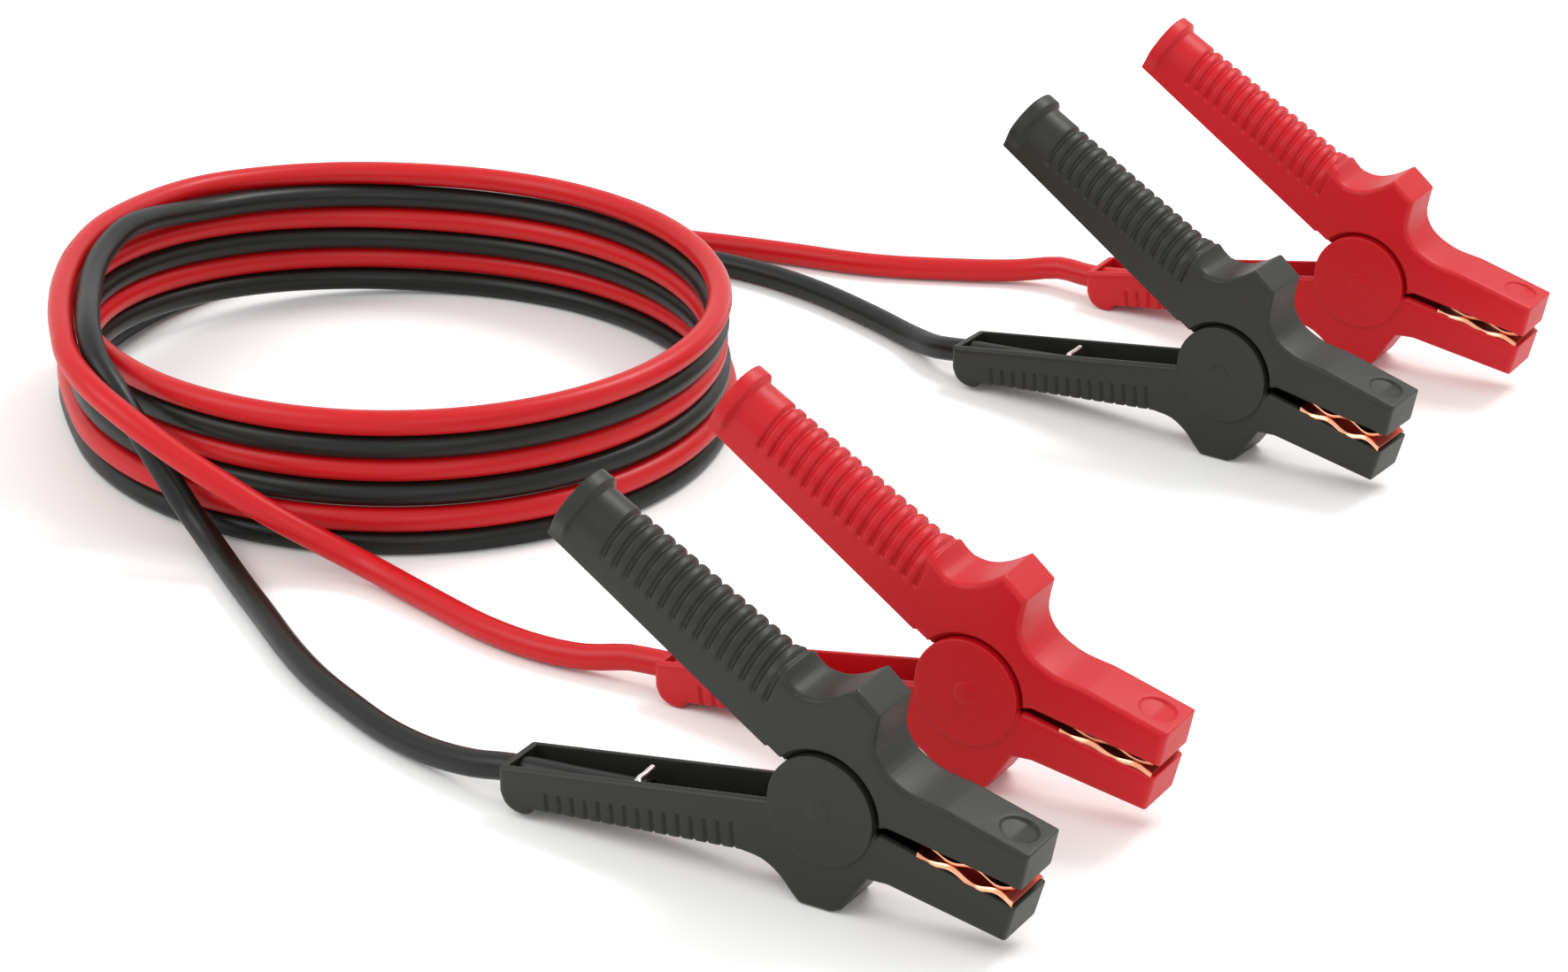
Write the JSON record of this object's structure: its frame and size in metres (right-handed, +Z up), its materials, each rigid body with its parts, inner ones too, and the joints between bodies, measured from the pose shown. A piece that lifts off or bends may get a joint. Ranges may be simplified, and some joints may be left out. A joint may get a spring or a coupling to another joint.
{
  "type": "jumper cable set",
  "caption": "Red and black booster cables coiled together, with an insulated spring clamp on each end; each clamp opens when its handles are squeezed.",
  "frame": {"origin": "on the floor, at the middle of the box round the four clamps", "axes": "+Z up; +Y away from the camera, from the front clamps towards the back ones; +X to the right, from the coil towards the clamps' jaws"},
  "size_m": [0.5257, 0.5444, 0.1143],
  "materials": {
    "red_plastic": "semi-matt moulded ABS",
    "black_plastic": "semi-matt moulded ABS",
    "red_cable": "smooth PVC sheath",
    "black_cable": "smooth PVC sheath",
    "copper": "bright copper-plated sheet",
    "steel": "bright zinc-plated"
  },
  "bodies": {
    "lower_clamps_and_cables": {"front_black_lower_shell": "black_plastic", "front_black_lower_jaw_plate": "copper", "front_black_pivot_pin": "steel", "front_black_torsion_spring": "steel", "front_red_lower_shell": "red_plastic", "front_red_lower_jaw_plate": "copper", "front_red_pivot_pin": "steel", "front_red_torsion_spring": "steel", "back_black_lower_shell": "black_plastic", "back_black_lower_jaw_plate": "copper", "back_black_pivot_pin": "steel", "back_black_torsion_spring": "steel", "back_red_lower_shell": "red_plastic", "back_red_lower_jaw_plate": "copper", "back_red_pivot_pin": "steel", "back_red_torsion_spring": "steel", "red_cable_turn_1": "red_cable", "red_cable_turn_2": "red_cable", "red_cable_turn_3": "red_cable", "black_cable_turn_1": "black_cable", "black_cable_turn_2": "black_cable", "black_cable_turn_3": "black_cable", "front_black_lead": "black_cable", "front_red_lead": "red_cable", "back_black_lead": "black_cable", "back_red_lead": "red_cable"},
    "front_black_upper_jaw": {"front_black_upper_shell": "black_plastic", "front_black_upper_jaw_plate": "copper"},
    "front_red_upper_jaw": {"front_red_upper_shell": "red_plastic", "front_red_upper_jaw_plate": "copper"},
    "back_black_upper_jaw": {"back_black_upper_shell": "black_plastic", "back_black_upper_jaw_plate": "copper"},
    "back_red_upper_jaw": {"back_red_upper_shell": "red_plastic", "back_red_upper_jaw_plate": "copper"}
  },
  "joints": [
    {"name": "front_black_pivot", "type": "hinge", "parent": "lower_clamps_and_cables", "child": "front_black_upper_jaw", "pos_m": [-0.07821, -0.20443, 0.032], "axis": [-0.515, -0.8572, 0], "range_deg": [0, 38], "stiffness_Nm_per_rad": 3, "springref_deg": -28.65, "deforming": ["front_black_torsion_spring"]},
    {"name": "front_red_pivot", "type": "hinge", "parent": "lower_clamps_and_cables", "child": "front_red_upper_jaw", "pos_m": [-0.03521, -0.13413, 0.03281], "axis": [-0.515, -0.8572, 0], "range_deg": [0, 38], "stiffness_Nm_per_rad": 3, "springref_deg": -28.65, "deforming": ["front_red_torsion_spring"]},
    {"name": "back_black_pivot", "type": "hinge", "parent": "lower_clamps_and_cables", "child": "back_black_upper_jaw", "pos_m": [0.06059, 0.10057, 0.032], "axis": [-0.5736, -0.8191, 0], "range_deg": [0, 38], "stiffness_Nm_per_rad": 3, "springref_deg": -28.65, "deforming": ["back_black_torsion_spring"]},
    {"name": "back_red_pivot", "type": "hinge", "parent": "lower_clamps_and_cables", "child": "back_red_upper_jaw", "pos_m": [0.11589, 0.18187, 0.03281], "axis": [-0.515, -0.8572, 0], "range_deg": [0, 38], "stiffness_Nm_per_rad": 3, "springref_deg": -28.65, "deforming": ["back_red_torsion_spring"]}
  ]
}
